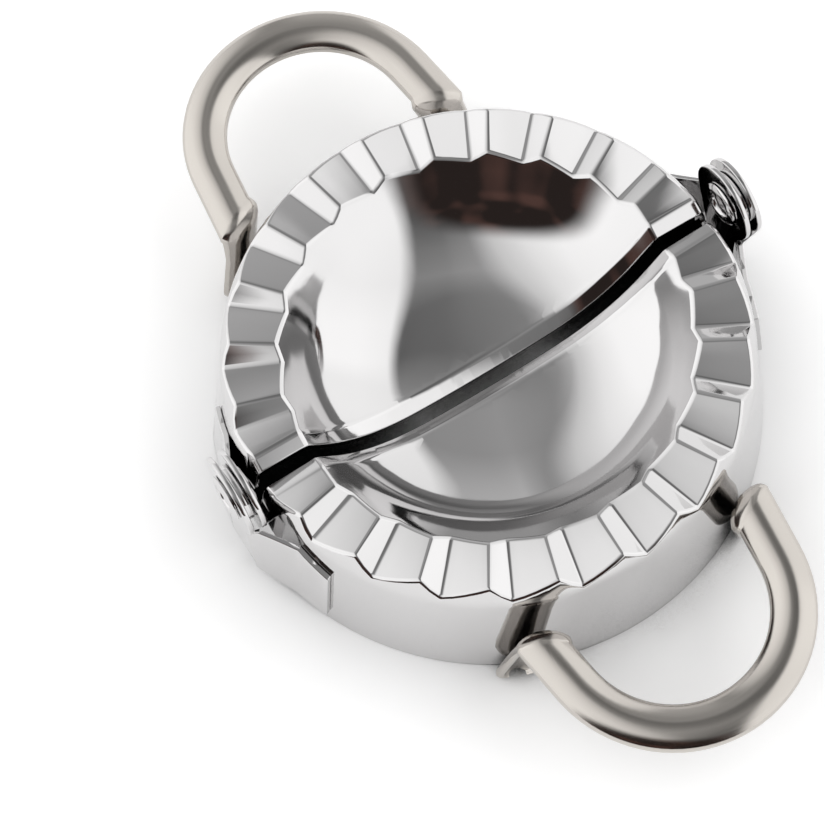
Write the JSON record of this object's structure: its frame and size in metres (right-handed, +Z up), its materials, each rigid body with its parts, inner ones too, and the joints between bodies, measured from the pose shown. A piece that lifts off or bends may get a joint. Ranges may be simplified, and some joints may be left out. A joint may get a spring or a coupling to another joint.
{
  "type": "dumpling press",
  "caption": "Folding dumpling press of polished steel sheet: half bowls with pleated rims over a round cutter skirt, hinged on side rivets, with looped handles.",
  "frame": {"origin": "middle of the opened press, on the table it rests on", "axes": "+X along the hinge to the right, +Y to the rear handle, +Z up, dish side up"},
  "size_m": [0.088, 0.1318, 0.0287],
  "materials": {
    "polished_steel": "mirror polished stainless steel",
    "satin_steel": "satin stainless steel"
  },
  "bodies": {
    "front_half": {"front_shell": "polished_steel", "front_handle": "satin_steel", "front_left_strap": "polished_steel", "front_right_strap": "polished_steel", "left_rivet": "polished_steel", "right_rivet": "polished_steel", "left_washer": "polished_steel", "right_washer": "polished_steel"},
    "rear_half": {"rear_shell": "polished_steel", "rear_handle": "satin_steel", "rear_left_strap": "polished_steel", "rear_right_strap": "polished_steel"}
  },
  "joints": [
    {"name": "fold", "type": "hinge", "parent": "front_half", "child": "rear_half", "pos_m": [0, 0, 0.0225], "axis": [1, 0, 0], "range_deg": [0, 180]}
  ]
}
